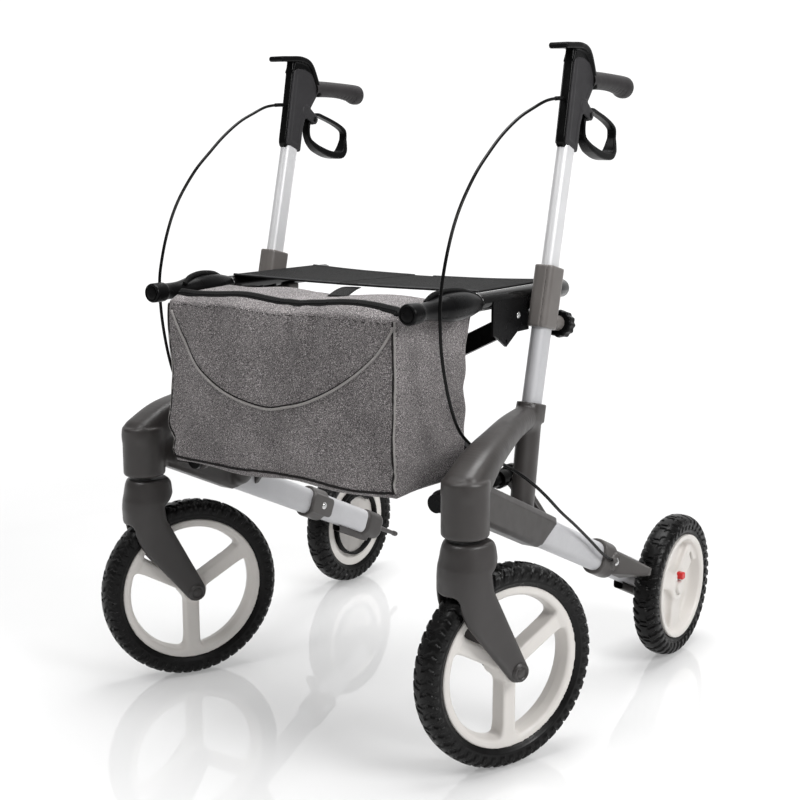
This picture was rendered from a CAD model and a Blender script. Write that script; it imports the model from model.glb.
"""Looks of the walker: castings, treaded wheels, handles, textile seat and bag, lights and camera."""

import math

import bpy
import numpy as np
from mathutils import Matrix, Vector
from mathutils.bvhtree import BVHTree


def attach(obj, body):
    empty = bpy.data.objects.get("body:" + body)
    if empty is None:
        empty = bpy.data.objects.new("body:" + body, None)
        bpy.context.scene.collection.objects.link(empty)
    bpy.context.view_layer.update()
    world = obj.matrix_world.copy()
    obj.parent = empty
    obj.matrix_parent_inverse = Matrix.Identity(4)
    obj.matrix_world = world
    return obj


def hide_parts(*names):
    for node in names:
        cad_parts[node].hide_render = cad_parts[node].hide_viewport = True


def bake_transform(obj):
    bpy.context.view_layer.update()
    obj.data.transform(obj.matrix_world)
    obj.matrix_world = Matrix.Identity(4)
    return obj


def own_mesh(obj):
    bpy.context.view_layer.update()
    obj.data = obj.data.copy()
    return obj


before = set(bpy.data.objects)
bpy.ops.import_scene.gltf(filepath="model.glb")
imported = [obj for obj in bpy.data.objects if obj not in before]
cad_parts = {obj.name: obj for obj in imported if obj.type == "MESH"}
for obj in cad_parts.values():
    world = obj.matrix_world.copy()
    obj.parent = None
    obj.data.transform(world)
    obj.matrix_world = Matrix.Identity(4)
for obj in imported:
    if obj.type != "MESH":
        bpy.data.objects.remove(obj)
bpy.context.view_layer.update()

# Millimetres in the walker's own frame: x from its middle plane, y back from the steering axes
LEFT, RIGHT = 1, -1
SIDES = ((LEFT, "left"), (RIGHT, "right"))
ORIGIN = np.array([16.737, 306.375, 0.0])
STEER_X, HEAD_R, HEAD_LOW, HEAD_HIGH = 288.0, 31.5, 327.9, 403.9
SWIVEL = {LEFT: math.radians(-21.5), RIGHT: math.radians(27.5)}
FRONT_R, FRONT_TRAIL, FRONT_HALF, FRONT_RIM_R = 140.0, 67.0, 20.0, 111.0
REAR_R, REAR_Y, REAR_X, REAR_HALF, REAR_RIM_R = 115.0, 573.0, 330.0, 19.0, 83.0
TUBE_X, TUBE_Z, TUBE_PITCH, TUBE_LEN, SLEEVE_LEN = 283.0, 379.9, math.radians(24.81), 631.3, 250.0
UPRIGHT_X, UPRIGHT_Y, UPRIGHT_LEAN = 254.0, 265.0, math.radians(13.5)
RAIL_X, RAIL_Z = 223.0, 612.0
PIVOT_X, BRACE_LOW_Z = 219.0, 352.0


def to_row(points, side=LEFT):
    """Points of the walker's left side, in millimetres, as metres in the row frame on that side."""
    p = np.array(points, float).reshape(-1, 3)
    p[:, 0] *= side
    return (p - ORIGIN) / 1000


# Distance fields

def length(v):
    return np.sqrt((v * v).sum(-1))


def join(a, b, soft):
    """Union of two fields with a fillet."""
    h = np.clip(0.5 + 0.5 * (b - a) / soft, 0, 1)
    return b * (1 - h) + a * h - soft * h * (1 - h)


def both(a, b, soft):
    """Where two fields overlap, with a rounded edge."""
    return -join(-a, -b, soft)


def carve(a, b, soft):
    """Field a without b, with a rounded edge."""
    return -join(-a, b, soft)


def slab(flat, across, half, edge):
    """A flat outline's field given a thickness, with rounded edges."""
    u, v = flat + edge, np.abs(across) - half + edge
    return np.minimum(np.maximum(u, v), 0) + np.hypot(np.maximum(u, 0), np.maximum(v, 0)) - edge


def within(value, low, high):
    """Distance from the middle of a span, and the span's half length, as slab takes them."""
    return value - (low + high) / 2, (high - low) / 2


def rectangle(u, v, half_u, half_v, corner):
    """Field of a rectangle with rounded corners."""
    return slab(np.abs(u) - half_u, v, half_v, corner)


def outline(u, v, points, corner=0.0):
    """Field of a polygon, with its convex corners rounded."""
    pts = np.array(points, float)
    d = np.full(u.shape, 1e9)
    sign = np.ones(u.shape)
    for a, b in zip(pts, np.roll(pts, -1, 0)):
        e = b - a
        wu, wv = u - a[0], v - a[1]
        t = np.clip((wu * e[0] + wv * e[1]) / (e @ e), 0, 1)
        d = np.minimum(d, (wu - e[0] * t) ** 2 + (wv - e[1] * t) ** 2)
        up, down, right = v >= a[1], v < b[1], e[0] * wv > e[1] * wu
        sign = np.where((up & down & right) | (~up & ~down & ~right), -sign, sign)
    return sign * np.sqrt(d) - corner


def capsule(p, a, b, ra, rb):
    """Field of a rod from a to b with round ends of two radii."""
    a, e = np.array(a, float), np.array(b, float) - np.array(a, float)
    t = np.clip(((p - a) @ e) / (e @ e), 0, 1)
    return length(p - a - t[:, None] * e) - (ra + (rb - ra) * t)


def sweep(p, knots, steps=4, square=2.0):
    """Tube through knots of (x, y, z, half width, half height). A square above 2 flattens its sides."""
    line = spline(knots, steps)
    d = np.full(len(p), 1e9)
    for k, m in zip(line[:-1], line[1:]):
        e = m[:3] - k[:3]
        t = np.clip(((p - k[:3]) @ e) / (e @ e), 0, 1)
        q = p - k[:3] - t[:, None] * e
        wide, high = k[3] + (m[3] - k[3]) * t, k[4] + (m[4] - k[4]) * t
        across, up = np.abs(q[:, 0]) / wide, np.hypot(q[:, 1], q[:, 2]) / high
        d = np.minimum(d, ((across ** square + up ** square) ** (1 / square) - 1) * np.minimum(wide, high))
    return d


def spline(points, steps, closed=False):
    """Smooth curve through the points, with that many steps between each two."""
    pts = np.array(points, float)
    n = len(pts)
    spans = n if closed else n - 1
    at = (lambda i: pts[i % n]) if closed else (lambda i: pts[min(max(i, 0), n - 1)])
    rows = []
    for i in range(spans):
        a, b, c, d = at(i - 1), at(i), at(i + 1), at(i + 2)
        for k in range(steps):
            t = k / steps
            rows.append(0.5 * (2 * b + (c - a) * t + (2 * a - 5 * b + 4 * c - d) * t * t
                               + (3 * b - a - 3 * c + d) * t ** 3))
    if not closed:
        rows.append(pts[-1])
    return np.array(rows)


def settle(field, points, reach):
    """Moves points onto the field's zero level."""
    h = 0.05
    d = field(points)
    g = np.stack([(field(points + h * e) - field(points - h * e)) / (2 * h) for e in np.eye(3)], 1)
    move = (d / np.maximum((g * g).sum(1), 1e-6))[:, None] * g
    far = np.maximum(length(move), 1e-9)[:, None]
    return points - move * np.minimum(1, reach / far)


RELAX_ROUNDS = 2


def surface(field, low, high, step):
    """Even quad mesh of a field's zero level."""
    axes = [np.arange(a - 1.5 * step, b + 2 * step, step) for a, b in zip(low, high)]
    shape = tuple(len(a) for a in axes)
    grid = np.stack(np.meshgrid(*axes, indexing="ij"), -1).reshape(-1, 3)
    inside = (field(grid) < 0).reshape(shape)
    nx, ny, nz = shape
    corners = [inside[i:nx - 1 + i, j:ny - 1 + j, k:nz - 1 + k].astype(np.int8)
               for i in (0, 1) for j in (0, 1) for k in (0, 1)]
    count = sum(corners)
    mixed = (count > 0) & (count < 8)
    index = np.full(mixed.shape, -1)
    index[mixed] = np.arange(mixed.sum())
    points = np.array([a[0] for a in axes]) + (np.argwhere(mixed) + 0.5) * step
    faces = []
    for axis in range(3):
        a, c = np.moveaxis(inside, axis, 0), np.moveaxis(index, axis, 0)
        start, end = a[:-1, 1:-1, 1:-1], a[1:, 1:-1, 1:-1]
        i, j, k = np.nonzero(start != end)
        quad = np.stack([c[i, j, k], c[i, j + 1, k], c[i, j + 1, k + 1], c[i, j, k + 1]], 1)
        turned = ~start[i, j, k] if axis != 1 else start[i, j, k]
        quad[turned] = quad[turned, ::-1]
        faces.append(quad)
    faces = np.concatenate(faces)
    points = settle(field, settle(field, points, step), step)
    for _ in range(RELAX_ROUNDS):
        points = settle(field, relaxed(points, faces), step)
    return settle(field, points, step), faces


def relaxed(points, faces):
    """Each point moved to the middle of its neighbours."""
    total, count = np.zeros_like(points), np.zeros(len(points))
    for k in range(4):
        a, b = faces[:, k], faces[:, (k + 1) % 4]
        np.add.at(total, a, points[b])
        np.add.at(total, b, points[a])
        np.add.at(count, a, 1)
        np.add.at(count, b, 1)
    return total / np.maximum(count, 1)[:, None]


# Local frames of the walker's parts

def caster_place(points, side):
    """Points of a caster's own frame, its steering axis at x = y = 0, on the walker's left side."""
    p = np.array(points, float)
    c, s = math.cos(SWIVEL[side]), math.sin(SWIVEL[side])
    return np.stack([STEER_X + p[:, 0] * c - p[:, 1] * s, p[:, 0] * s + p[:, 1] * c, p[:, 2]], 1)


def front_wheel_place(points, side):
    return caster_place(np.array(points, float) + [0, FRONT_TRAIL, FRONT_R], side)


def rear_wheel_place(points, side):
    return np.array(points, float) + [REAR_X, REAR_Y, REAR_R]


def lean(y, z, angle):
    """Distances along and above an axis that falls backwards by an angle."""
    c, s = math.cos(angle), math.sin(angle)
    return y * c - z * s, y * s + z * c


def in_tube(p):
    """Across, along and above the rear tube's middle line."""
    return p[:, 0] - TUBE_X, *lean(p[:, 1], p[:, 2] - TUBE_Z, TUBE_PITCH)


def tube_place(points):
    """Points given across, along and above the rear tube's middle line."""
    x, y, z = np.array(points, float).reshape(-1, 3).T
    y, z = lean(y, z, -TUBE_PITCH)
    return np.stack([TUBE_X + x, y, TUBE_Z + z], 1)


def in_upright(p):
    """Across, behind and along the upright's middle line, from seat rail height."""
    return p[:, 0] - UPRIGHT_X, *lean(p[:, 1] - UPRIGHT_Y, p[:, 2] - RAIL_Z, UPRIGHT_LEAN)


# Pieces

def piece(name, points, faces, material, body=None, side=LEFT, replaces=(), sharp=None):
    """A mesh from points of the walker's left side, mirrored to the side asked for, riding on a body."""
    mesh = bpy.data.meshes.new(name)
    rows = [list(f) if side > 0 else list(f)[::-1] for f in faces]
    mesh.from_pydata(to_row(points, side).tolist(), [], rows)
    mesh.validate()
    mesh.shade_smooth()
    if sharp:
        mesh.set_sharp_from_angle(angle=math.radians(sharp))
    mesh.materials.append(material)
    obj = bpy.data.objects.new(name, mesh)
    bpy.context.scene.collection.objects.link(obj)
    if body:
        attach(obj, body)
    if replaces:
        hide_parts(*replaces)
    return obj


def place_parts(parts):
    """Makes each listed field's mesh once and puts it on both sides."""
    for label, field, low, high, step, material, body, slot, stands_for in parts:
        points, faces = surface(field, low, high, step)
        for side, name in SIDES:
            piece(f"{name}_{label}", points, faces, material, f"{name}_{body}", side,
                  [f"{name}_{n}" for n in stands_for])


def modify(obj, name, kind, **settings):
    modifier = obj.modifiers.new(name, kind)
    for key, value in settings.items():
        setattr(modifier, key, value)


def quads(n, rows, closed=False):
    """Faces between neighbouring rows of n points each."""
    pairs = [(k, (k + 1) % rows) for k in range(rows if closed else rows - 1)]
    return [(a * n + i, a * n + i + 1, b * n + i + 1, b * n + i) for a, b in pairs for i in range(n - 1)]


def lathe(profile, segments):
    """Closed skin of (along, radius) points turned about the x axis of a part's own frame."""
    pts = []
    for k in range(segments):
        a = 2 * math.pi * k / segments
        pts += [(u, r * math.cos(a), r * math.sin(a)) for u, r in profile]
    return np.array(pts), quads(len(profile), segments, closed=True)


def rope(line, radius, sides=10, flat=1.0, up=(1, 0, 0)):
    """Closed tube along a line of points. With flat below 1 it is a strap, thin along the direction up."""
    pts = np.array(line, float)
    heading = np.gradient(pts, axis=0)
    heading /= length(heading)[:, None]
    side_way = np.cross(heading, np.array(up, float))
    side_way /= np.maximum(length(side_way), 1e-9)[:, None]
    thin = np.cross(side_way, heading)
    rows = []
    for k in range(sides):
        a = 2 * math.pi * k / sides
        rows.append(pts + radius * (math.cos(a) * side_way + flat * math.sin(a) * thin))
    rings = np.stack(rows, 1)
    n = len(pts)
    turn = [(k, (k + 1) % sides) for k in range(sides)]
    faces = [(i * sides + a, i * sides + b, (i + 1) * sides + b, (i + 1) * sides + a)
             for i in range(n - 1) for a, b in turn]
    faces.append(tuple(range(sides - 1, -1, -1)))
    faces.append(tuple((n - 1) * sides + k for k in range(sides)))
    return rings.reshape(-1, 3), faces


# Materials

def shader(name):
    mat = bpy.data.materials.new(name)
    mat.use_nodes = True
    tree = mat.node_tree
    return mat, tree, tree.nodes["Principled BSDF"]


def add(tree, kind, **settings):
    node = tree.nodes.new(kind)
    for key, value in settings.items():
        if hasattr(node, key):
            setattr(node, key, value)
        else:
            node.inputs[key].default_value = value
    return node


def link(tree, value, node, socket):
    tree.links.new(value, node.inputs[socket])


def combine(tree, operation, *values):
    """Sum, product or other operation on sockets and plain numbers."""
    node = add(tree, "ShaderNodeMath", operation=operation)
    for k, value in enumerate(values):
        if isinstance(value, float):
            node.inputs[k].default_value = value
        else:
            link(tree, value, node, k)
    return node.outputs[0]


def coords(tree, stretch=(1, 1, 1)):
    place = add(tree, "ShaderNodeTexCoord")
    scale = add(tree, "ShaderNodeMapping", Scale=stretch)
    link(tree, place.outputs["Object"], scale, "Vector")
    return scale.outputs["Vector"]


def noise(tree, vector, scale, detail=2.0, rough=0.5):
    node = add(tree, "ShaderNodeTexNoise", Scale=scale, Detail=detail, Roughness=rough)
    link(tree, vector, node, "Vector")
    return node.outputs["Fac"]


def ramp(tree, value, stops):
    """Colour by value, from (place, colour) stops."""
    node = add(tree, "ShaderNodeValToRGB")
    band = node.color_ramp
    while len(band.elements) < len(stops):
        band.elements.new(0.5)
    for element, (at, colour) in zip(band.elements, stops):
        element.position = at
        element.color = (*colour, 1)
    link(tree, value, node, "Fac")
    return node.outputs["Color"]


def spread(tree, value, low, high, start=0.3, end=0.7):
    """Value from start to end, mapped to low to high."""
    limits = {"From Min": start, "From Max": end, "To Min": low, "To Max": high}
    node = add(tree, "ShaderNodeMapRange", **limits)
    link(tree, value, node, "Value")
    return node.outputs["Result"]


def bump(tree, bsdf, height, strength, depth):
    node = add(tree, "ShaderNodeBump", Strength=strength, Distance=depth)
    link(tree, height, node, "Height")
    link(tree, node.outputs["Normal"], bsdf, "Normal")


def tint(colour, share):
    return tuple(min(1.0, c * share) for c in colour)


def moulded(name, colour, rough, grain=900.0, grain_depth=0.00012, uneven=0.12, worn=1.25, shine=0.5):
    """Painted or moulded surface: soft mottling, fine grain, uneven gloss and lighter worn edges."""
    mat, tree, bsdf = shader(name)
    place = coords(tree)
    mottled = ramp(tree, noise(tree, place, 34, 4),
                   [(0.3, tint(colour, 1 - uneven)), (0.7, tint(colour, 1 + uneven))])
    edges = add(tree, "ShaderNodeNewGeometry")
    edge = spread(tree, edges.outputs["Pointiness"], 0, 0.55, 0.52, 0.62)
    mix = add(tree, "ShaderNodeMix", data_type="RGBA")
    link(tree, edge, mix, "Factor")
    link(tree, mottled, mix, 6)
    mix.inputs[7].default_value = (*tint(colour, worn), 1)
    link(tree, mix.outputs[2], bsdf, "Base Color")
    gloss = spread(tree, noise(tree, place, 60, 5), rough - 0.06, rough + 0.06)
    link(tree, gloss, bsdf, "Roughness")
    bsdf.inputs["Specular IOR Level"].default_value = shine
    bump(tree, bsdf, noise(tree, place, grain, 2), 0.35, grain_depth)
    return mat


def brushed(name, colour, rough, stretch, metal=0.85):
    """Anodised metal with fine drawn lines along one axis."""
    mat, tree, bsdf = shader(name)
    lines = noise(tree, coords(tree, stretch), 420, 3)
    cloud = noise(tree, coords(tree), 22, 3)
    link(tree, ramp(tree, cloud, [(0.3, tint(colour, 0.93)), (0.7, colour)]), bsdf, "Base Color")
    link(tree, spread(tree, lines, rough - 0.07, rough + 0.08), bsdf, "Roughness")
    bsdf.inputs["Metallic"].default_value = metal
    bump(tree, bsdf, lines, 0.12, 0.0001)
    return mat


def rubber(name, colour):
    """Tyre rubber: dusty in the hollows, slightly shiny on the raised edges."""
    mat, tree, bsdf = shader(name)
    place = coords(tree)
    edges = add(tree, "ShaderNodeNewGeometry")
    shade = spread(tree, edges.outputs["Pointiness"], 0, 1, 0.46, 0.56)
    tone = ramp(tree, shade, [(0.0, tint(colour, 0.7)), (0.55, colour), (1.0, tint(colour, 2.1))])
    link(tree, tone, bsdf, "Base Color")
    link(tree, spread(tree, noise(tree, place, 90, 4), 0.26, 0.46), bsdf, "Roughness")
    bsdf.inputs["Specular IOR Level"].default_value = 0.2
    bump(tree, bsdf, noise(tree, place, 1400, 3), 0.3, 0.0002)
    return mat


def melange(name):
    """Heather cloth: light and dark yarns crossing, with slubs and a soft nap."""
    mat, tree, bsdf = shader(name)
    across = noise(tree, coords(tree, (1, 1, 0.36)), 1450, 3, 0.6)
    down = noise(tree, coords(tree, (0.36, 0.36, 1)), 1450, 3, 0.6)
    cloud = noise(tree, coords(tree), 14, 3)
    yarn = combine(tree, "ADD", across, down)
    mixed = combine(tree, "MULTIPLY_ADD", cloud, 0.16, yarn)
    scaled = spread(tree, mixed, 0, 1, 0.82, 1.34)
    shade = ramp(tree, scaled, [(0.0, (0.010, 0.009, 0.009)), (0.34, (0.068, 0.062, 0.063)),
                                (0.62, (0.174, 0.160, 0.160)), (1.0, (0.62, 0.58, 0.58))])
    link(tree, shade, bsdf, "Base Color")
    bsdf.inputs["Roughness"].default_value = 0.92
    bsdf.inputs["Sheen Weight"].default_value = 0.1
    bump(tree, bsdf, yarn, 0.5, 0.0005)
    return mat


def webbing(name, colour, pitch, rough=0.75):
    """Woven tape or seat cloth with a fine two-way rib."""
    mat, tree, bsdf = shader(name)
    place = coords(tree)
    ribs = []
    for way in ("X", "Y"):
        wave = add(tree, "ShaderNodeTexWave", bands_direction=way, Scale=pitch, Distortion=0.6)
        wave.inputs["Detail Scale"].default_value = 3
        link(tree, place, wave, "Vector")
        ribs.append(wave.outputs["Fac"])
    weave = combine(tree, "MAXIMUM", *ribs)
    shade = ramp(tree, weave, [(0.35, tint(colour, 0.55)), (0.9, tint(colour, 1.5))])
    link(tree, shade, bsdf, "Base Color")
    bsdf.inputs["Roughness"].default_value = rough
    bsdf.inputs["Specular IOR Level"].default_value = 0.12
    bump(tree, bsdf, weave, 0.5, 0.0005)
    return mat


CASTING = moulded("casting_grey", (0.037, 0.033, 0.0315), 0.42, uneven=0.06)
FORK = moulded("fork_grey", (0.036, 0.0325, 0.0315), 0.40, uneven=0.06)
TAUPE = moulded("clamp_taupe", (0.135, 0.124, 0.117), 0.34, uneven=0.05)
COVER = moulded("cover_grey", (0.075, 0.070, 0.067), 0.42, uneven=0.05, shine=0.4)
SHELL = moulded("shell_graphite", (0.026, 0.025, 0.027), 0.50, grain=1500, uneven=0.08, shine=0.25)
RAIL_GLOSS = moulded("rail_gloss", (0.003, 0.003, 0.003), 0.16, grain=400, grain_depth=0.00002, worn=1.6)
GLOSS = moulded("gloss_black", (0.003, 0.003, 0.003), 0.20, grain=500, grain_depth=0.00003, worn=1.6,
                shine=0.14)
BLACK = moulded("satin_black", (0.0032, 0.0032, 0.0034), 0.30, worn=1.8, shine=0.1)
SOFT_BLACK = moulded("grip_rubber", (0.022, 0.020, 0.021), 0.55, grain=1900, grain_depth=0.0002, worn=1.5,
                     shine=0.3)
TUBE = brushed("tube_silver", (0.54, 0.54, 0.555), 0.46, (6, 0.4, 0.4), 0.25)
MAST = brushed("mast_silver", (0.76, 0.76, 0.77), 0.42, (6, 0.4, 0.4), 0.3)
STEEL = brushed("bright_steel", (0.72, 0.72, 0.72), 0.18, (1, 1, 1))
CREAM = moulded("rim_cream", (0.70, 0.672, 0.64), 0.42, grain=420, grain_depth=0.00008, uneven=0.02,
                worn=1.08)
RED = moulded("tab_red", (0.56, 0.012, 0.012), 0.34, uneven=0.08, worn=1.2)
RUBBER = rubber("tyre_rubber", (0.0038, 0.0036, 0.0036))
HEATHER = melange("heather_cloth")
SEAT = webbing("seat_cloth", (0.008, 0.008, 0.008), 620)
HEM = webbing("seat_hem", (0.045, 0.045, 0.046), 900, 0.5)
TAPE = webbing("black_tape", (0.0035, 0.0035, 0.0035), 480, 0.6)
PIPING = webbing("dark_piping", (0.016, 0.015, 0.015), 900, 0.8)
CORDING = webbing("light_cording", (0.27, 0.258, 0.25), 900, 0.85)


# Side frame casting

ARM = [(288, -1, 389, 27, 28.5), (284, 40, 414, 25, 22.5), (274, 100, 430.5, 20.5, 18.5),
       (264, 155, 440.5, 17.5, 17), (255, 218, 447, 15, 15)]
ARM_SQUARE = 3.2
STRUT = [(254, 224, 440, 15, 22.5), (261, 190, 299, 15.5, 22)]
SLEEVE = [(-11, 25.5), (11, 25.5), (17.5, 17), (17.5, -20), (13, -25.5), (-13, -25.5), (-17.5, -20),
          (-17.5, 17)]
SLEEVE_TOP, SLEEVE_SLANT = 25.5, 0.8
COLLAR_LOW, COLLAR_HIGH = -180.0, -154.0
LUGS_AT, LUG_EYE_R, LUG_HALF = (52, 236), 16, 6
MAST_WAY = 105.0


def frame_field(p):
    x, y, z = p.T
    head = slab(np.hypot(x - STEER_X, y) - HEAD_R, *within(z, HEAD_LOW, HEAD_HIGH), 5)
    body = join(head, sweep(p, ARM, 10, ARM_SQUARE), 2)
    a, s, h = in_tube(p)
    inset = [(0.9 * u, 0.93 * v) for u, v in SLEEVE]
    ended = s + SLEEVE_SLANT * np.maximum(SLEEVE_TOP - h, 0)
    sleeve = slab(outline(a, h, inset, 1.8), np.maximum(ended, 0) - SLEEVE_LEN / 2, SLEEVE_LEN / 2, 3)
    body = join(body, np.maximum(sleeve, -s), 7)
    body = join(body, sweep(p, STRUT, 1), 9)
    u, v, w = in_upright(p)
    collar = slab(rectangle(u, v, 17, 24, 15), *within(w, COLLAR_LOW, COLLAR_HIGH), 2)
    body = join(body, collar, 4)
    for y_at in LUGS_AT:
        tube_at = (TUBE_X, TUBE_Z - y_at * math.tan(TUBE_PITCH))
        web = capsule(np.stack([x, z], 1), (PIVOT_X, BRACE_LOW_Z), tube_at, 12, 13)
        eye = np.hypot(x - PIVOT_X, z - BRACE_LOW_Z) - LUG_EYE_R
        body = join(body, slab(join(web, eye, 4), y - y_at, LUG_HALF, 2), 5)
    bore = slab(rectangle(u, v, 11.3, 18.3, 11), w - COLLAR_HIGH, 24, 0.5)
    mast_way = slab(rectangle(u, v, 9.6, 16.6, 9), w - COLLAR_HIGH, MAST_WAY, 0.5)
    return carve(body, np.minimum(bore, mast_way), 1)


def side_frames():
    place_parts([("frame_casting", frame_field, (198, -40, 236), (324, 262, 476), 2.4, CASTING, "frame",
                  "casting", ["side_frame"])])


# Forks

FORK_SIDE = [(-32, 319), (-35, 275), (-32, 257), (-11, 222), (59, 135.5), (62.5, 132.2), (67, 131),
             (72, 132.5), (75, 136), (75, 144.5), (17, 258), (13, 286), (34, 302), (34, 314), (28, 319)]
FORK_FRONT = [(-30, 319), (-33, 300), (-34, 262), (-31, 200), (-30, 122), (30, 122), (31, 200), (34, 262),
              (33, 300), (30, 319)]
CROWN_R, CROWN_TAPER, CROWN_SPREAD_Z = 39.0, 4.5, 302.0
WHEEL_ROOM, WHEEL_ROOM_HALF = 10, 23.5
AXLE_CAP_AT = 36.6
AXLE_CAP = [(0.4, 0.01), (0.6, 6.2), (-0.4, 7), (-0.4, 8.2), (1, 8.8), (1.2, 10.6), (0.6, 11.4),
            (-0.6, 11.6), (-0.6, 12.8), (-4, 12.8)]


def fork_field(p):
    x, y, z = p.T
    body = both(outline(y, z, FORK_SIDE, 7), outline(x, z, FORK_FRONT, 6), 9)
    crown_r = CROWN_R - CROWN_TAPER * np.clip((z - 290) / 27, 0, 1)
    body = both(body, np.hypot(x, np.minimum(y - 3, 0)) - crown_r, 12)
    behind = np.hypot(x, y - 4) - crown_r - 2 - np.maximum(CROWN_SPREAD_Z - z, 0) ** 2 / 95
    body = both(body, behind, 9)
    wheel = slab(np.hypot(y - FRONT_TRAIL, z - FRONT_R) - FRONT_R - WHEEL_ROOM, x, WHEEL_ROOM_HALF, 10)
    return carve(body, wheel, 4)


def forks():
    points, faces = surface(fork_field, (-44, -44, 118), (44, 90, 328), 2.2)
    cap, cap_faces = lathe(AXLE_CAP, 40)
    for side, name in SIDES:
        body = f"{name}_caster"
        piece(f"{name}_fork_casting", caster_place(points, side), faces, FORK, body, side,
              [f"{name}_fork"])
        for way, label in ((1, "out"), (-1, "in")):
            spot = cap.copy()
            spot[:, 0] = way * (AXLE_CAP_AT + spot[:, 0])
            order = cap_faces if way > 0 else [f[::-1] for f in cap_faces]
            piece(f"{name}_axle_cap_{label}", front_wheel_place(spot, side), order, FORK, body, side,
                  [f"{name}_front_axle"])


# Wheels

FRONT_RING = [(110, -15), (103, -15), (100, -13), (97.5, 0), (100, 13), (103, 15), (110, 15)]
REAR_RING = [(83.5, -13), (83.5, 19), (79, 19), (76, 16), (72.5, 2), (70, -13)]
DRUM = [(-6, 58), (-18.6, 58), (-19, 58.4), (-19, 62.6), (-18.6, 63), (-6, 63)]
SPOKES = 3
CAP_R, CAP_DROP = 10.5, 3
TAB_W, TAB_H, TAB_UP, TAB_ROUND = 12.0, 11.5, 17.0, 3.5
SHARP_EDGE, TREAD_STEPS = 40, 12
RIB_FROM, RIB_H = 0.80, 0.5

# Rows of tread blocks from the middle out. Each has its outer edge, its shifts (all blocks, odd pitches, by
# side), its slant, the start and end of a block as shares of a pitch, and the heights of block and gap
FRONT_TREAD = [(0.10, 0, 0.5, 0, 0, 0.18, 2, 2.3, 0.4), (0.34, 0, 0, 0.25, 1.4, -1, 0.62, 2.3, 0.2),
               (0.56, 0.5, 0, 0.25, -1.4, -1, 0.60, 2.3, 0.2), (0.72, 0, 0, 0.25, 0, -1, 0.42, 1.5, 0)]
REAR_TREAD = [(0.14, 0, 0.5, 0, 0, -1, 0.70, 2.4, 0.2), (0.38, 0, 0, 0.25, 1.3, -1, 0.62, 2.4, 0),
              (0.60, 0.5, 0, 0.25, -1.3, -1, 0.60, 2.4, 0), (0.74, 0, 0, 0.25, 0, -1, 0.52, 2.0, 0)]
FRONT_RIB_TO, REAR_RIB_TO = 0.84, 0.85


def along_spoke(p, degrees):
    """Distances along and across a direction in a wheel's plane."""
    c, s = math.cos(math.radians(degrees)), math.sin(math.radians(degrees))
    return p[:, 1] * c + p[:, 2] * s, p[:, 2] * c - p[:, 1] * s


def front_rim_field(p):
    x, r = p[:, 0], np.hypot(p[:, 1], p[:, 2])
    body = join(outline(r, x, FRONT_RING, 1), slab(r - 19, x, 23.4, 2.5), 1)
    for k in range(SPOKES):
        along, across = along_spoke(p, -90 + 120 * k)
        flare = 10.5 + 3.5 * np.clip((along - 74) / 26, 0, 1) ** 2
        spoke = np.maximum(np.maximum(np.abs(across) - flare, -along), along - 100)
        body = join(body, slab(spoke, x, 13, 3), 7)
    return body


def rear_rim_field(p):
    x, r = p[:, 0], np.hypot(p[:, 1], p[:, 2])
    dish = slab(r - 76, x - (-6 + 0.10 * np.maximum(40 - r, 0)), 3.5, 1)
    hub = slab(r - 25, x + 1.5, 13.5, 5)
    body = join(join(outline(r, x, REAR_RING, 1), dish, 6), hub, 9)
    for k in range(SPOKES):
        along, across = along_spoke(p, 38 + 116 * k)
        half = 12 + 8 * np.clip(along / 76, 0, 1)
        lobe = np.maximum(np.abs(across) - half, np.maximum(-along, along - 77))
        body = join(body, slab(lobe, x - 0.5, 8.5, 4), 7)
        out, over = along_spoke(p, 150 + 120 * k)
        body = carve(body, slab(rectangle(out - 65, over, 3, 11, 2.5), x, 20, 1), 1.5)
    cap_r = np.hypot(p[:, 1], p[:, 2] + CAP_DROP)
    body = join(body, slab(cap_r - CAP_R, x - 13.5, 3, 1.2), 1)
    body = carve(body, slab(np.abs(cap_r - CAP_R - 1.6) - 1.1, x - 12.5, 2.6, 0.3), 0.5)
    tab = rectangle(p[:, 1], p[:, 2] - TAB_UP, TAB_W / 2 + 1, TAB_H / 2 + 1, TAB_ROUND)
    return carve(body, slab(tab, x - 19, 9, 0.5), 1)


def tread_height(rows, rib_to, share, odd, across):
    """Height of the tread at a share of a pitch and a place across from -1 to 1."""
    side, m, inner = (1 if across > 0 else -1), abs(across), 0
    for outer, shift, by_odd, by_side, slant, start, end, block, gap in rows:
        if m < outer:
            place = (share + shift + by_odd * odd + by_side * side + slant * (m - inner)) % 1
            return block if start < place < end else gap
        inner = outer
    return RIB_H if RIB_FROM < m < rib_to else 0.0


def tyre(radius, half, bead_r, pitches, tread, rib_to):
    """Tyre skin whose tread blocks rise from the carcass."""
    wall = [(bead_r + 0.4, 0.76), (bead_r + 5, 0.90), (radius - 19, 0.97), (radius - 10, 0.93),
            (radius - 4.4, 0.62), (radius - 2.6, 0.25)]
    section = spline([(r, -half * w) for r, w in wall] + [(radius - 2.4, 0)]
                     + [(r, half * w) for r, w in wall[::-1]], 4)
    way = np.gradient(section, axis=0)
    normal = np.stack([way[:, 1], -way[:, 0]], 1) / length(way)[:, None]
    reach = np.cumsum(np.r_[0, length(np.diff(section, axis=0))])
    across = 2 * reach / reach[-1] - 1
    turns = pitches * TREAD_STEPS
    rows = []
    for k in range(turns):
        a = 2 * math.pi * k / turns
        pitch, step = divmod(k, TREAD_STEPS)
        lift = [tread_height(tread, rib_to, step / TREAD_STEPS, pitch % 2, c) for c in across]
        r, x = (section + normal * np.array(lift)[:, None]).T
        rows.append(np.stack([x, r * math.cos(a), r * math.sin(a)], 1))
    return np.concatenate(rows), quads(len(section), turns, closed=True)


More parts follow.
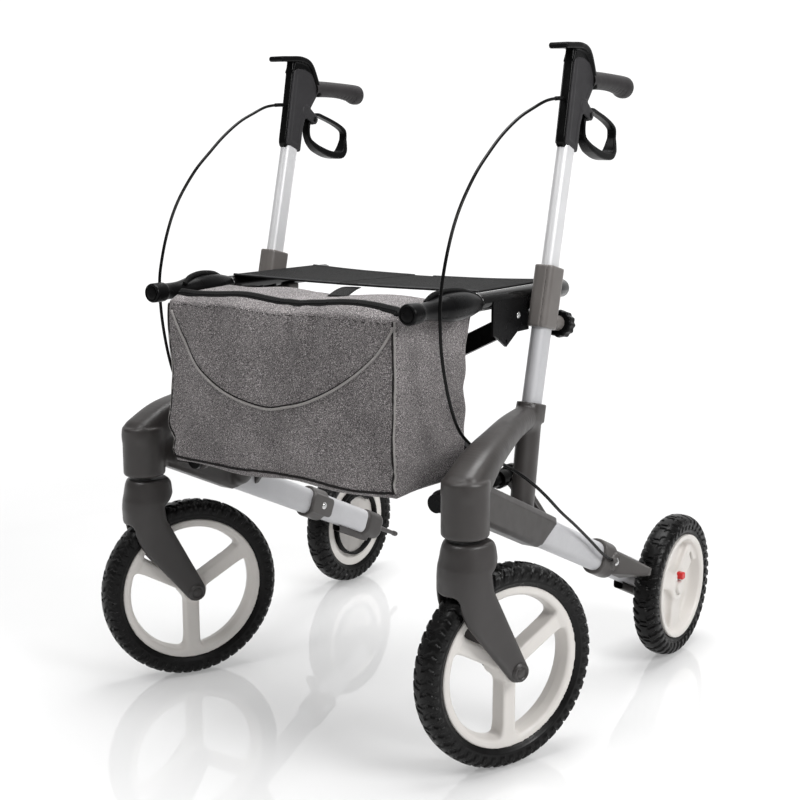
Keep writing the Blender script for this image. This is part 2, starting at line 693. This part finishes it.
def tab_field(p):
    """Push tab with a domed face and a shallow finger hollow."""
    flat = rectangle(p[:, 1], p[:, 2] - TAB_UP, TAB_W / 2, TAB_H / 2, TAB_ROUND)
    return carve(slab(flat, p[:, 0] - 14.5, 6.5, 2.5), length(p - [38.5, 0, TAB_UP]) - 18.5, 1.5)


def wheels():
    front, rear = front_wheel_place, rear_wheel_place
    front_tyre = tyre(FRONT_R, FRONT_HALF, FRONT_RIM_R, 52, FRONT_TREAD, FRONT_RIB_TO)
    rear_tyre = tyre(REAR_R, REAR_HALF, REAR_RIM_R, 42, REAR_TREAD, REAR_RIB_TO)
    front_rim = surface(front_rim_field, (-24, -112, -112), (24, 112, 112), 2.4)
    rear_rim = surface(rear_rim_field, (-20, -84, -84), (20, 84, 84), 1.9)
    tab = surface(tab_field, (9, -8, 8), (26, 8, 26), 0.9)
    parts = [("front_tyre_tread", front, front_tyre, RUBBER, "front_wheel", "tyre", ["front_tyre"],
              SHARP_EDGE),
             ("front_rim_casting", front, front_rim, CREAM, "front_wheel", "rim", ["front_rim"], None),
             ("rear_tyre_tread", rear, rear_tyre, RUBBER, "rear_wheel", "tyre", ["rear_tyre"], SHARP_EDGE),
             ("rear_rim_casting", rear, rear_rim, CREAM, "rear_wheel", "rim", ["rear_rim"], None),
             ("brake_drum", rear, lathe(DRUM, 72), BLACK, "rear_wheel", "black_plastic", [], SHARP_EDGE),
             ("release_tab", rear, tab, RED, "button", "button", ["release_button"], None)]
    for side, name in SIDES:
        for label, place, (points, faces), material, body, slot, stands_for, sharp in parts:
            piece(f"{name}_{label}", place(points, side), faces, material, f"{name}_{body}", side,
                  [f"{name}_{n}" for n in stands_for], sharp)


# Handles

SHELL_SIDE = [(302, 826), (330, 815), (337, 850), (345, 868), (360, 885), (375, 903), (378, 914), (373, 927),
              (362, 935), (348, 940), (330, 941), (323, 938)]
SHELL_HALF, SPINE_HALF, SPINE_R = 9.8, 6.8, 4.6
SPINE = [(300.5, 823), (299.5, 830), (303.5, 850), (310.5, 885), (317, 920), (323, 953)]
HOOD_TOP = [(288, 957.5), (307, 958.5), (331, 959.5), (351, 956.5), (363, 949), (372, 935), (380, 918),
            (383, 905)]
HOOD_WEB = [(318, 938), (326, 954), (349, 953), (361, 945), (370, 932), (378, 916), (380, 903), (368, 901),
            (371, 913), (365, 925), (351, 934), (336, 938)]
GRIP = [(0, 376, 913.5, 13.5, 13.5), (0, 415, 914, 12.8, 12.8), (0, 450, 913, 13, 13),
        (0, 477, 910.5, 14.2, 14.6), (0, 490, 908, 15.8, 16.4), (0, 497, 907.5, 15.6, 16.2)]
GRIP_END, RIB_PITCH, RIBS_FROM, RIBS_TO, RIBS_BELOW = 502.0, 9, 428, 486, 905
LEVER = [(366, 867), (384, 872), (402, 868), (432, 859), (453, 850), (460, 842), (458, 824), (451, 809),
         (440, 805), (416, 807), (396, 813), (376, 822), (362, 834), (360, 850)]
PIN_Y, PIN_Z = 370.5, 864.0
RIVET = [(-11.9, 0.01), (-11.7, 3), (-10.7, 4.2), (-10, 2.6), (10, 2.6), (10.7, 4.2), (11.7, 3),
         (11.9, 0.01)]


def path_field(u, v, line, closed=False):
    """Distance from a line in a plane."""
    d = np.full(u.shape, 1e9)
    flat = np.stack([u, v], 1)
    ends = np.roll(line, -1, 0) if closed else line[1:]
    for a, b in zip(line, ends):
        d = np.minimum(d, capsule(flat, a, b, 0, 0))
    return d


def in_handle(p):
    return p[:, 0] - UPRIGHT_X, p[:, 1], p[:, 2]


def shell_field(p):
    x, y, z = in_handle(p)
    body = slab(outline(y, z, SHELL_SIDE, 4), x, SHELL_HALF, 3.5)
    dip = slab(outline(y, z, SHELL_SIDE, -6), np.abs(x) - 10.5, 1.1, 0.4)
    body = carve(body, dip, 1.2)
    cheek = capsule(np.stack([y, z], 1), (350, 876), (PIN_Y, PIN_Z), 10, 8)
    return join(body, slab(cheek, np.abs(x) - 9.0, 1.5, 0.8), 2)


def hood_field(p):
    x, y, z = in_handle(p)
    top = path_field(y, z, spline(HOOD_TOP, 4))
    width = 14.5 - 2.5 * np.clip((y - 330) / 50, 0, 1)
    plate = slab(top - 4.3, np.abs(x) + 21 - width, 21, 2)
    web = slab(outline(y, z, HOOD_WEB, 2), x, 8.5, 2)
    return join(plate, web, 4)


def spine_field(p):
    x, y, z = in_handle(p)
    return slab(path_field(y, z, spline(SPINE, 4)) - SPINE_R, x, SPINE_HALF, 3)


def lever_field(p):
    """Closed loop, wider and thicker along its foot."""
    x, y, z = in_handle(p)
    loop = path_field(y, z, spline(LEVER, 4, closed=True), closed=True)
    low = np.clip((832 - z) / 20, 0, 1)
    band = slab(loop - 2.8 - 3.0 * low, np.abs(x) + 8 - 3.2 * low, 15, 2.2)
    boss = slab(np.hypot(y - PIN_Y, z - PIN_Z) - 8.5, x, 7, 2)
    return join(band, boss, 4)


def grip_field(p):
    """Grip with a flat end and finger ribs on its underside."""
    y, z = p[:, 1], p[:, 2]
    body = both(sweep(p - [UPRIGHT_X, 0, 0], GRIP, 4), y - GRIP_END, 3)
    hollow = np.abs(np.mod(y, RIB_PITCH) - RIB_PITCH / 2) - 0.7
    ribs = np.maximum(np.maximum(hollow, RIBS_FROM - y), y - RIBS_TO)
    shallow = np.maximum(ribs, np.abs(body) - 0.7)
    return carve(body, np.maximum(shallow, z - RIBS_BELOW), 0.8)


def handles():
    place_parts([
        ("handle_side", shell_field, (236, 294, 810), (272, 398, 956), 1.7, SHELL, "handle", "shell",
         ["handle_shell"]),
        ("handle_hood_moulding", hood_field, (232, 258, 896), (276, 416, 972), 1.7, BLACK, "handle",
         "black_plastic", ["handle_hood"]),
        ("handle_spine", spine_field, (240, 286, 798), (268, 326, 958), 1.5, GLOSS, "handle",
         "black_plastic", []),
        ("grip_moulding", grip_field, (234, 376, 882), (274, 518, 928), 1.5, SOFT_BLACK, "handle", "grip",
         ["grip"]),
        ("lever_loop", lever_field, (243, 352, 792), (265, 478, 878), 1.4, BLACK, "lever", "black_plastic",
         ["brake_lever"]),
    ])
    rivet, faces = lathe(RIVET, 24)
    for side, name in SIDES:
        piece(f"{name}_lever_rivet", rivet + [UPRIGHT_X, PIN_Y, PIN_Z], faces, BLACK, f"{name}_handle", side,
              [f"{name}_lever_pin"])


# Seat clamp, knob, horn and rear fittings

KNOB_DOWN, KNOB_R, KNOB_LOBES, KNOB_OUT = 34, 19.4, 12, 55.8
COLLAR_AT, HOUSING_IN = 420.3, 31
PEDAL_FROM, PEDAL_PAD, PEDAL_TO = 20, 86, 93
HORN = [(-38, 0.05), (-38, 8.4), (-37.2, 9.2), (-36.4, 9.4), (-36.4, 10.4), (-37.8, 11), (-37.8, 12.4),
        (-36, 13.6), (-33, 14), (-17, 14), (-13.5, 13.2), (-11, 12.2), (2, 12), (18, 12.8), (32, 15.4),
        (46, 18.2), (62, 19.4), (84, 19.2), (100, 17.6), (114, 15), (124, 12.8), (128, 11.2)]
RAIL_SCREW_AT = (RAIL_X + 11.9, 218.6, 587)
RAIL_BAR = [(126, 0.05), (126, 11), (127, 12), (128.5, 12.3), (334, 12.3), (335, 13.6), (367, 13.6),
            (370, 12.6), (371.5, 9), (372, 0.05)]
LATHE_EDGE = 50


def clamp_field(p):
    u, v, w = in_upright(p)
    sleeve = slab(rectangle(u, v, 15, 23, 10), w + 3, 44, 2)
    body = carve(sleeve, slab(rectangle(u - 7.5, v + 23, 0.7, 2.2, 0.3), w + 3, 60, 0.2), 0.6)
    boss = slab(np.hypot(u, w + KNOB_DOWN) - 11, v - 34, 13, 2)
    body = join(body, boss, 4)
    x, y, z = p.T
    saddle = slab(rectangle(x - 226, z - 597.5, 19, 5.5, 3), y - UPRIGHT_Y, 13, 2)
    body = join(body, saddle, 3)
    body = carve(body, slab(np.hypot(x - RAIL_X, z - RAIL_Z) - 11.4, y - UPRIGHT_Y, 30, 0.5), 0.6)
    return carve(body, slab(rectangle(u, v, 9.4, 16.4, 9), w - 41, 12, 0.4), 0.8)


def knob_field(p):
    u, v, w = in_upright(p)
    w = w + KNOB_DOWN
    turn, r = np.arctan2(w, u), np.hypot(u, w)
    star = r - KNOB_R - 0.9 * np.cos(KNOB_LOBES * turn)
    body = slab(star, v - KNOB_OUT, 9.4, 3.5)
    body = carve(body, slab(r - 9, v - 66, 2.2, 0.6), 1)
    body = carve(body, slab(np.abs(r - 13) - 0.6, v - 65.4, 1.4, 0.3), 0.6)
    return join(body, slab(r - 7, v - 49, 2, 0.6), 1)


def collar_field(p):
    a, s, h = in_tube(p)
    s = s - COLLAR_AT
    body = slab(rectangle(a, h, 19, 27.5, 17.5), s - 21, 21, 2.5)
    inner = slab(rectangle(s - 28, h, 30, 17, 8), a + 17.5, 3.5, 2)
    body = join(body, inner, 3)
    boss = slab(np.hypot(s - 34, h) - 13, a - 18.5, 5, 2)
    body = join(body, boss, 3)
    plan = outline(a, s, [(12, 42), (60, 77.5), (60, 83.5), (12, 80)], 1.2)
    front = outline(a, h, [(12, -18), (60, -5), (60, 5), (12, 18)], 1.2)
    body = join(body, both(plan, front, 1.5), 2)
    gland = slab(np.hypot(a - 23, h) - 4.6, s - 21.5, 6, 1)
    return join(body, gland, 2)


def housing_field(p):
    """Rear end of the tube, with the brake carrier, the kerb pedal and the axle's arm."""
    a, s, h = in_tube(p)
    s = s - (TUBE_LEN - HOUSING_IN)
    cap = slab(rectangle(a, h, 16.5, 24.5, 16), s - 28, 28, 11)
    carrier = slab(rectangle(a, h + 26.5, 8, 6, 3), s + 25, 51, 3)
    body = join(cap, carrier, 6)
    root, pad, end = (tube_place([(0, TUBE_LEN + far, 0)])[0] for far in (PEDAL_FROM, PEDAL_PAD, PEDAL_TO))
    pedal = join(capsule(p, root, end, 5, 3.6), capsule(p, pad, end, 4.6, 4.6), 3)
    body = join(body, pedal, 5)
    axle_r = np.hypot(p[:, 1] - REAR_Y, p[:, 2] - REAR_R)
    body = join(body, slab(axle_r - 10, p[:, 0] - 294, 14, 1), 4)
    return join(body, slab(axle_r - 24, p[:, 0] - 306, 2, 1), 4)


def screw_field(p):
    """Domed screw head with a cross recess, its face towards +x."""
    x, y, z = p.T
    dome = both(length(p + [5.2, 0, 0]) - 8.2, -x - 1, 0.5)
    cross = np.minimum(rectangle(y, z, 2.6, 0.55, 0.2), rectangle(y, z, 0.55, 2.6, 0.2))
    return carve(dome, slab(cross, x - 3, 1.4, 0.1), 0.3)


def on_rail(profile, segments):
    """Profile of (y, radius) points turned about the seat rail's middle line."""
    points, faces = lathe(profile, segments)
    return np.stack([RAIL_X + points[:, 1], points[:, 0], RAIL_Z - points[:, 2]], 1), faces


def fittings():
    place_parts([
        ("clamp_sleeve", clamp_field, (204, 232, 556), (272, 326, 664), 1.9, TAUPE, "frame", "clamp",
         ["seat_clamp"]),
        ("star_knob", knob_field, (232, 292, 548), (276, 346, 600), 1.2, BLACK, "knob", "black_plastic",
         ["height_knob"]),
        ("rear_collar_cover", collar_field, (262, 365, 130), (348, 470, 235), 1.8, COVER, "frame", "clamp",
         ["rear_collar"]),
        ("axle_end", housing_field, (264, 470, 60), (310, 672, 172), 2.0, CASTING, "frame", "casting",
         ["axle_housing"]),
    ])
    horn, horn_faces = on_rail(spline(HORN, 2), 56)
    bar, bar_faces = on_rail(RAIL_BAR, 48)
    screw, screw_faces = surface(screw_field, (-1, -7, -7), (4, 7, 7), 0.6)
    collar_at, housing_at, inner_at = tube_place([(23.5, 454.6, 0), (13, TUBE_LEN - 47, 0), (-21.2, 450, 0)])
    heads = np.concatenate([screw + collar_at, screw + housing_at, screw * [-1, 1, 1] + inner_at])
    turned = (screw_faces, screw_faces, screw_faces[:, ::-1])
    head_faces = np.concatenate([faces + k * len(screw) for k, faces in enumerate(turned)])
    for side, name in SIDES:
        rail = f"{name}_rail"
        piece(f"{name}_rail_screws", screw + RAIL_SCREW_AT, screw_faces, STEEL, rail, side)
        piece(f"{name}_rail_bar", bar, bar_faces, RAIL_GLOSS, rail, side, sharp=LATHE_EDGE)
        piece(f"{name}_horn_moulding", horn, horn_faces, BLACK, rail, side,
              [f"{name}_rail_horn"], LATHE_EDGE)
        piece(f"{name}_screw_heads", heads, head_faces, STEEL, f"{name}_frame", side,
              [f"{name}_frame_screws"])


# Brake cables

CABLE_D, FERRULE_WALL, FERRULE_POINTS = 4.6, 0.7, 6
CABLE = [(254, 301, 886), (254, 281, 885), (253, 255, 881), (251, 225, 871), (249, 189, 857),
         (247, 150, 835), (246, 117, 811), (246, 85, 785), (246, 54, 751), (246, 34, 721),
         (246, 19, 688), (246, 9, 657), (246, 3, 628), (246, 3, 595), (246, 7, 558),
         (247, 17, 515), (248, 30, 480), (248, 48, 452), (249, 70, 432), (251, 92, 417),
         (260, 110, 404), (276, 124, 394), (290, 140, 380), (298, 160, 364), (304, 188, 341),
         (306, 225, 312), (306, 270, 282), (306, 321, 246), (306, 365, 214), (306, 396, 197)]
CABLE_FREE_FROM = 13


def cables():
    line = spline(CABLE, 5)
    points, faces = rope(line, CABLE_D / 2)
    ferrule, ferrule_faces = rope(line[:FERRULE_POINTS], CABLE_D / 2 + FERRULE_WALL)
    for side, name in SIDES:
        cable = piece(f"{name}_cable_sheath", points, faces, GLOSS, None, side,
                      [f"{name}_brake_cable"])
        start, end = to_row([CABLE[CABLE_FREE_FROM], CABLE[0]], side)
        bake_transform(cable)
        piece(f"{name}_cable_ferrule", ferrule, ferrule_faces, BLACK, f"{name}_handle", side)


# Seat textile

SEAT_FRONT, SEAT_REAR, SEAT_TOP, SEAT_GAP, SEAT_SHORT = 135.0, 335.0, 625.6, 18.0, 3.0
SEAT_T, SEAT_SAG, HEM_R = 2.4, 6.0, 2.1
STRIP_LAP, STRIP_BELOW, STRIP_FOLDED = 2, 0.2, 0.05
HOOK_STRAP = [(212, 20, 621), (215, 34, 630), (219, 60, 633.5), (222, 88, 631.5), (226, 106, 626.5),
              (231, 118, 620), (236, 123, 610)]


def seat_sheet():
    """Half of the seat from the middle to the crown of the rail, sagging between its ends."""
    out = np.linspace(SEAT_GAP, RAIL_X - SEAT_SHORT, 26)
    along = np.linspace(SEAT_FRONT, SEAT_REAR, 41)
    top = []
    for y in along:
        share = (y - SEAT_FRONT) / (SEAT_REAR - SEAT_FRONT)
        for x in out:
            inner = np.clip((RAIL_X - x) / (RAIL_X - SEAT_GAP), 0, 1)
            dip = SEAT_SAG * math.sin(math.pi * 0.5 * inner) * (0.35 + 0.65 * share)
            wave = 0.5 * math.sin(y / 23) * math.sin(x / 37) * inner
            top.append((x, y, SEAT_TOP - dip + wave))
    return np.array(top), len(out), len(along)


def thicken(cloth):
    modify(cloth, "thickness", "SOLIDIFY", thickness=SEAT_T / 1000, offset=0)


def seat_middle(points, n, m):
    """Strip between the two halves, which gathers up as the walker folds."""
    edge = points[0::n]
    start, wide = SEAT_GAP + STRIP_LAP, 2 * (SEAT_GAP + STRIP_LAP)
    rows = [np.stack([start - wide * t + 0 * edge[:, 0], edge[:, 1], edge[:, 2] - STRIP_BELOW], 1)
            for t in np.linspace(0, 1, 7)]
    skin = np.stack(rows, 1).reshape(-1, 3)
    faces = [f[::-1] for f in quads(len(rows), m)]
    strip = piece("seat_middle_textile", skin, faces, SEAT, "left_seat", LEFT)
    thicken(strip)
    to_row([(SEAT_GAP, 0, 0)])[0]
    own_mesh(strip)
    return strip


def seat():
    points, n, m = seat_sheet()
    hems = {"front": points[:n] + [0, 2, 0.9], "rear": points[-n:] + [0, -2, 0.9]}
    hook, hook_faces = rope(spline(HOOK_STRAP, 6), 4.0, 10, 0.8)
    for side, name in SIDES:
        body = f"{name}_seat"
        half = piece(f"{name}_seat_textile", points, quads(n, m), SEAT, body, side,
                     [f"{name}_seat_half"])
        thicken(half)
        for end, line in hems.items():
            skin, skin_faces = rope(spline(line, 2), HEM_R, 8, 0.8, (0, 0, 1))
            piece(f"{name}_seat_{end}_hem", skin, skin_faces, HEM, body, side)
        if side == LEFT:
            seat_middle(points, n, m)
        piece(f"{name}_hook_strap", hook, hook_faces, TAPE, f"{name}_rail", side)


# Bag

BAG_SIDE = [(-32, 376), (-24, 366), (100, 366), (118, 371), (130, 383), (133, 425), (136, 480), (141, 550),
            (157, 590), (160, 604), (90, 616), (-14, 612), (-30, 603)]
BAG_HALF, BAG_MID_Y, BAG_MID_Z = 203.0, 50, 488.0
BAG_FOLDED, MIN_STEP = 0.165, 0.15
CREASE_X, CREASE_Z = 215, 366
ZIP = [(-191, -12, 610), (-132, -10, 613), (-75, -10, 611), (-21, -10, 606), (32, -10, 609), (83, -10, 611),
       (133, -10, 611), (181, -12, 608), (196, -14, 606)]
ZIP_FACING, FORWARD = (0, -0.75, 0.66), (0, -1, 0.1)
POCKET = [(-188, -38, 590), (-168, -38, 552), (-129, -38, 508), (-73, -38, 478), (-13, -38, 467),
          (30, -38, 474), (72, -38, 487), (122, -38, 514), (171, -38, 553), (200, -38, 594)]
STITCH = [(-186, -36, 597), (-125, -38, 600), (-53, -38, 601), (1, -38, 597), (73, -38, 599),
          (133, -38, 598), (192, -36, 597)]
STITCH_ON, STITCH_OFF = 4, 3
BAG_FOOT = [(-192, -32, 374), (-116, -36, 374), (0, -38, 374), (101, -37, 374), (200, -33, 374)]
CORNER = [(200, -33, 600), (203, -36, 540), (203, -37, 482), (203, -36, 423), (201, -32, 374)]
CORNER_INSET = 4.0
SEAT_STRAP = [(4, 140, 619), (12, 118, 618.5), (22, 94, 617), (33, 68, 614.5)]


def ripple(p):
    """Slow folds of the bag's cloth, puckers under the zip and creases drawn from the lower corners."""
    x, y, z = p.T
    slow = 2.6 * np.sin(x / 29 + 0.8 * np.sin(z / 47)) * np.sin(z / 37 + 1.1)
    under_zip = np.clip((z - 490) / 90, 0, 1) * np.clip((612 - z) / 18, 0, 1)
    pucker = 4.2 * under_zip * np.sin(x / 8 + 2.2 * np.sin(x / 47)) * np.sin(x / 61 + 0.6) ** 2
    away = np.hypot(np.abs(x) - CREASE_X, z - CREASE_Z)
    turn = np.arctan2(z - CREASE_Z, CREASE_X - np.abs(x))
    crease = 2.8 * np.sin(11 * turn) * np.exp(-((away - 75) / 45) ** 2)
    on_side = np.clip((np.abs(x) - 190) / 8, 0, 1)
    across = 1.2 * np.sin(z / 9 + 0.05 * y) * on_side * np.clip((560 - z) / 60, 0, 1)
    return slow + pucker + crease + across


def bag_field(p):
    x, y, z = p.T
    wide = 1 - np.clip(np.abs(x) / BAG_HALF, 0, 1) ** 2
    tall = 1 - np.clip(np.abs(z - BAG_MID_Z) / 122, 0, 1) ** 2
    deep = 1 - np.clip(np.abs(y - BAG_MID_Y) / 85, 0, 1) ** 2
    moved_y = y + np.where(y < BAG_MID_Y, 11 * wide * tall, -3 * wide * tall)
    sag = 4.5 * np.exp(-((x + 14) / 50) ** 2) * np.clip((z - 560) / 50, 0, 1)
    moved_z = z + sag - np.where(z > BAG_MID_Z, 3, -3) * wide * deep
    profile = outline(moved_y, moved_z, BAG_SIDE)
    half = BAG_HALF - 7 * np.clip(-x / BAG_HALF, 0, 1) - 3 * (1 - tall) * deep
    return both(profile, np.abs(x) - half, 7) - ripple(p)


def on_bag(tree, line, lift):
    """Points of the line moved onto the bag's skin, and out from it."""
    rows = []
    for p in line:
        spot, normal, _, _ = tree.find_nearest(Vector(p))
        here = np.array(spot) + np.array(normal) * lift
        if not rows or length(here - rows[-1]) > MIN_STEP:
            rows.append(here)
    return np.array(rows)


def trim(label, line, radius, material, flat=1.0, facing=FORWARD):
    """Cord, or strap with flat below 1, along a line on the bag."""
    skin, faces = rope(line, radius, 8, flat, facing)
    return piece(label, skin, faces, material, "left_rail", LEFT)


def bag_trims(tree):
    zip_line = on_bag(tree, spline(ZIP, 10), 1.2)
    pocket = spline(POCKET, 10)
    inside = on_bag(tree, pocket + [0, 0, 3.0], 0.3)
    made = [trim("bag_zip_tape", zip_line, 7.6, TAPE, 0.3, ZIP_FACING),
            trim("bag_zip_teeth", zip_line, 2.6, BLACK, facing=ZIP_FACING),
            trim("bag_pocket_cording", on_bag(tree, pocket, 1.1), 1.9, CORDING),
            trim("bag_pocket_shade", inside, 0.9, PIPING, 0.8),
            trim("bag_bottom_piping", on_bag(tree, spline(BAG_FOOT, 12), 0.8), 1.7, PIPING)]
    thread = spline(STITCH, 40)
    for k, at in enumerate(range(0, len(thread) - STITCH_ON, STITCH_ON + STITCH_OFF)):
        stitch = on_bag(tree, thread[at:at + STITCH_ON], 0.2)
        made.append(trim(f"bag_stitch_{k}", stitch, 0.45, PIPING))
    for side, name in SIDES:
        edge = spline([(side * x, y, z) for x, y, z in CORNER], 10)
        seam = on_bag(tree, edge - [side * CORNER_INSET, 0, 0], 0.5)
        made.append(trim(f"bag_corner_cording_{name}", on_bag(tree, edge, 0.8), 1.5, CORDING))
        made.append(trim(f"bag_corner_piping_{name}", seam, 1.3, PIPING))
    made.append(trim("bag_seat_strap", spline(SEAT_STRAP, 6), 15.0, TAPE, 0.07, (0, 0, 1)))
    return made


def bag():
    points, faces = surface(bag_field, (-210, -46, 360), (210, 160, 624), 4.4)
    cloth = piece("bag_cloth", points, faces, HEATHER, "left_rail", LEFT, ["bag"])
    tree = BVHTree.FromPolygons(points.tolist(), [list(f) for f in faces])
    anchor = to_row([(RAIL_X, 0, 0)])[0]
    for obj in [cloth, *bag_trims(tree)]:
        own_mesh(obj)


# Carried-over solids

def dress(names, material, edge=None):
    """Gives CAD nodes of both sides a material, and a small bevel where their edges would be too sharp."""
    for n in names:
        for full in ([n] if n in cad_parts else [f"left_{n}", f"right_{n}"]):
            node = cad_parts[full]
            node.data.materials.clear()
            node.data.materials.append(material)
            if edge:
                modify(node, "soft edges", "BEVEL", width=edge / 1000, segments=2, limit_method="ANGLE",
                       angle_limit=math.radians(SHARP_EDGE))


def carried_over():
    dress(["upright_tube", "rear_tube"], TUBE)
    dress(["height_tube"], MAST)
    dress(["seat_rail", "cross_arm_a", "cross_arm_b"], BLACK, 0.8)
    dress(["brake_shoe"], BLACK)
    dress(["steering_stem", "rear_axle", "cross_bolt"], STEEL)


# Stage, in metres. A lamp has its place, aim, size and power

BACKDROP_WAY, BACKDROP_FROM, BACKDROP_TO = (-0.57, 0.82, 0.0), 0.3, 0.85
FRONT_LEVEL, BACK_LEVEL, SEEN_LEVEL = 0.2, 1.05, 1.1
FLOOR_R, FLOOR_SIDES, FLOOR_GLOW, FADE_FROM, FADE_TO = 3.2, 96, 0.22, 1.15, 2.2
FLOOR_ROUGH, FLOOR_SHINE = 0.012, 0.5
LAMPS = {"key": ((2.5, -0.3, 2.0), (0, 0, 0.45), 1.4, 54),
         "fill": ((-0.7, -2.1, 3.0), (0, 0, 0.4), 1.4, 35),
         "top": ((0.1, 0.4, 3.2), (0, 0, 0.4), 2.2, 90)}
CAMERA_AT, CAMERA_AIM = (1.14376, -1.70428, 0.8164), (-0.01674, -0.04561, 0.450)
LENS, SENSOR, SHIFT_X, SHIFT_Y = 59.953, 36.0, 0.0031, -0.0128


def aimed(name, data, place, aim):
    """Object at a place in the scene, turned to look at a point."""
    obj = bpy.data.objects.new(name, data)
    obj.location = place
    obj.rotation_euler = (Vector(aim) - Vector(place)).to_track_quat("-Z", "Y").to_euler()
    bpy.context.scene.collection.objects.link(obj)
    return obj


def studio_world():
    """White backdrop to the eye. Its light is bright behind the walker and dimmer in front."""
    scene = bpy.context.scene
    scene.view_settings.view_transform = "Standard"
    world = scene.world or bpy.data.worlds.new("studio")
    scene.world = world
    world.use_nodes = True
    tree = world.node_tree
    way = add(tree, "ShaderNodeTexCoord")
    facing = add(tree, "ShaderNodeVectorMath", operation="DOT_PRODUCT")
    link(tree, way.outputs["Generated"], facing, 0)
    facing.inputs[1].default_value = BACKDROP_WAY
    level = spread(tree, facing.outputs["Value"], FRONT_LEVEL, BACK_LEVEL, BACKDROP_FROM, BACKDROP_TO)
    seen = add(tree, "ShaderNodeLightPath")
    mix = add(tree, "ShaderNodeMix")
    link(tree, seen.outputs["Is Camera Ray"], mix, "Factor")
    link(tree, level, mix, "A")
    mix.inputs["B"].default_value = SEEN_LEVEL
    background = tree.nodes["Background"]
    background.inputs["Color"].default_value = (1, 1, 1, 1)
    link(tree, mix.outputs["Result"], background, "Strength")


def floor_material():
    """Pale glossy floor that fades into the white backdrop."""
    mat, tree, bsdf = shader("floor_white")
    cloud = noise(tree, coords(tree), 3, 2)
    shade = ramp(tree, cloud, [(0.3, (0.74, 0.74, 0.74)), (0.7, (0.76, 0.76, 0.76))])
    link(tree, shade, bsdf, "Base Color")
    bsdf.inputs["Roughness"].default_value = FLOOR_ROUGH
    bsdf.inputs["Specular IOR Level"].default_value = FLOOR_SHINE
    far = add(tree, "ShaderNodeVectorMath", operation="LENGTH")
    link(tree, coords(tree), far, 0)
    white = add(tree, "ShaderNodeEmission", Strength=SEEN_LEVEL)
    fade = add(tree, "ShaderNodeMixShader")
    link(tree, spread(tree, far.outputs["Value"], FLOOR_GLOW, 1, FADE_FROM, FADE_TO), fade, 0)
    link(tree, bsdf.outputs[0], fade, 1)
    link(tree, white.outputs[0], fade, 2)
    link(tree, fade.outputs[0], tree.nodes["Material Output"], "Surface")
    return mat


def stage():
    mesh = bpy.data.meshes.new("floor")
    ring = [2 * math.pi * k / FLOOR_SIDES for k in range(FLOOR_SIDES)]
    rim = [(FLOOR_R * math.cos(a), FLOOR_R * math.sin(a), 0) for a in ring]
    mesh.from_pydata(rim, [], [tuple(range(FLOOR_SIDES))])
    mesh.materials.append(floor_material())
    floor = bpy.data.objects.new("floor", mesh)
    bpy.context.scene.collection.objects.link(floor)
    studio_world()
    for name, (place, aim, size, power) in LAMPS.items():
        data = bpy.data.lights.new(name, "AREA")
        data.shape = "DISK"
        data.size = size
        data.energy = power
        aimed(name, data, place, aim)


def camera():
    data = bpy.data.cameras.new("camera")
    data.lens = LENS
    data.sensor_width = SENSOR
    data.shift_x, data.shift_y = SHIFT_X, SHIFT_Y
    data.clip_end = 100
    bpy.context.scene.camera = aimed("camera", data, CAMERA_AT, CAMERA_AIM)


camera()
stage()
side_frames()
forks()
wheels()
handles()
fittings()
cables()
seat()
bag()
carried_over()
